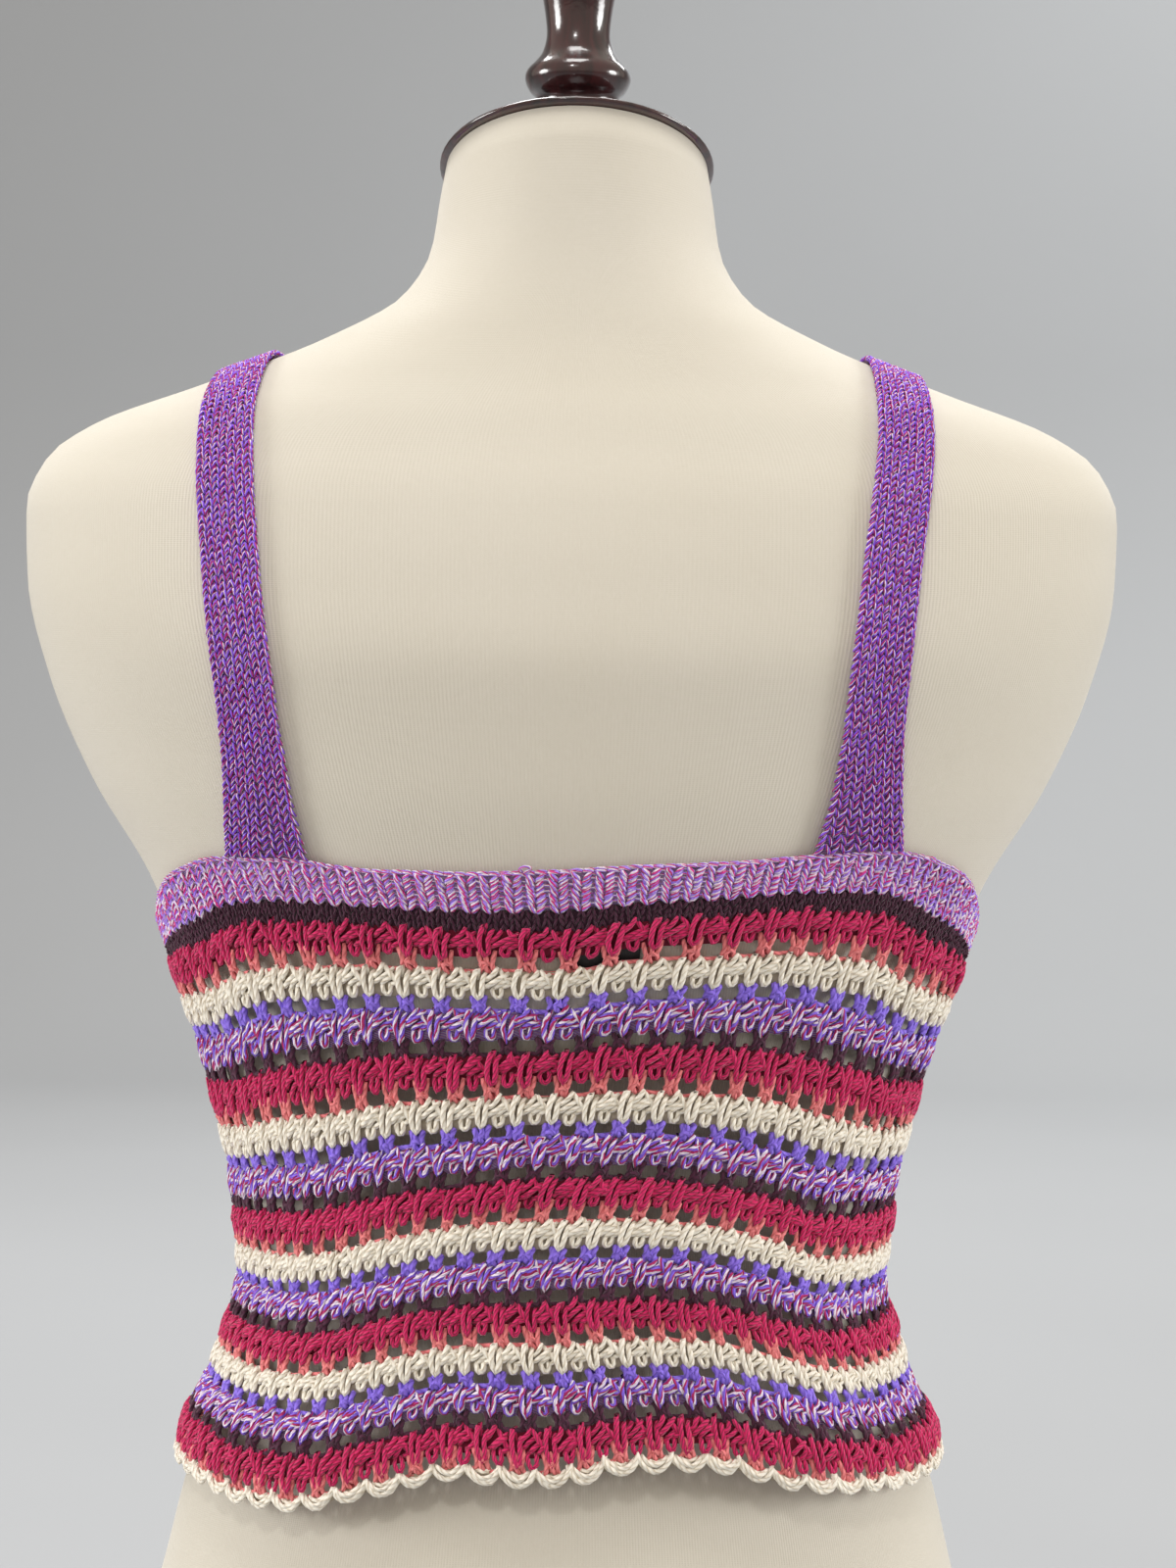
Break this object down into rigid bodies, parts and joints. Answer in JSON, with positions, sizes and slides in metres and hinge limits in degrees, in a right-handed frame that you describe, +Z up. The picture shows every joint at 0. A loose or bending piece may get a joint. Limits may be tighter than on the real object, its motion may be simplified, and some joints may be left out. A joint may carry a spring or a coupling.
{
  "type": "crop top on dress form",
  "caption": "Sleeveless striped openwork knit crop top with two straps and a ribbed band, worn by a limbless dress form with a turned wooden finial.",
  "frame": {"origin": "middle of the bounding box on the surface that the base board stands on", "axes": "+Z up along the figure, +Y out of the wearer's back, X across the shoulders with the wearer's right at +X"},
  "size_m": [0.382, 0.2246, 0.77],
  "materials": {
    "striped_knit": "matt knitted cotton in crimson, coral, cream, violet, marl and plum rows",
    "marl_knit": "matt rib and plain knit in violet, white and crimson marl yarn",
    "black_satin": "blank woven satin label",
    "ivory_jersey": "fine matt jersey stretched over the form",
    "dark_wood": "dark red-brown polished lacquer"
  },
  "bodies": {
    "root": {"back_panel": "striped_knit", "front_panel": "striped_knit", "band_back": "marl_knit", "band_front": "marl_knit", "strap_left": "marl_knit", "strap_right": "marl_knit", "label_back": "black_satin", "form_body": "ivory_jersey", "base_board": "dark_wood", "neck_cap": "dark_wood", "finial": "dark_wood"}
  },
  "joints": []
}
